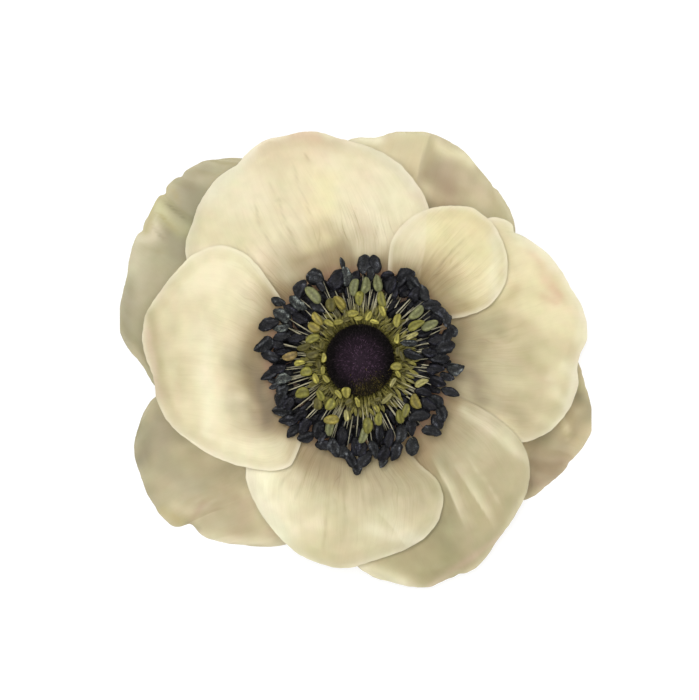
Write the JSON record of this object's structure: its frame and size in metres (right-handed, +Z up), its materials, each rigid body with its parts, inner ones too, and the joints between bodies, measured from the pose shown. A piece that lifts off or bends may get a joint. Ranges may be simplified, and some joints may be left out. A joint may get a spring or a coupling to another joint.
{
  "type": "anemone flower",
  "caption": "Open anemone bloom cut just under its petals, lying face up: layered cream petals round a ring of dark stamens and a domed dark head.",
  "frame": {"origin": "under the middle of the bloom's box, on the surface that the flower lies on", "axes": "+Z up out of the face of the bloom, +X to the right and +Y to the top of the bloom seen from above"},
  "size_m": [0.08, 0.0772, 0.0191],
  "materials": {
    "petal_front": "soft, slightly translucent cream petal with fine radial veins",
    "petal_back": "soft cream petal with green and mauve shades",
    "stalk": "green plant tissue with fine hairs",
    "stamens_dark": "wrinkled blue-black anthers with a dull sheen on pale filaments",
    "stamens_green": "yellow-green anthers on pale filaments",
    "pistil_head": "dense short dark purple hairs"
  },
  "bodies": {
    "root": {"petal_left": "petal_front", "petal_top": "petal_front", "petal_upper_right": "petal_front", "petal_right": "petal_front", "petal_lower_right": "petal_front", "petal_bottom": "petal_front", "petal_back_upper_left": "petal_back", "petal_back_upper_right": "petal_back", "petal_back_right": "petal_back", "petal_back_lower_left": "petal_back", "stalk_receptacle": "stalk", "stamens_dark": "stamens_dark", "stamens_green": "stamens_green", "pistil_head": "pistil_head"}
  },
  "joints": []
}
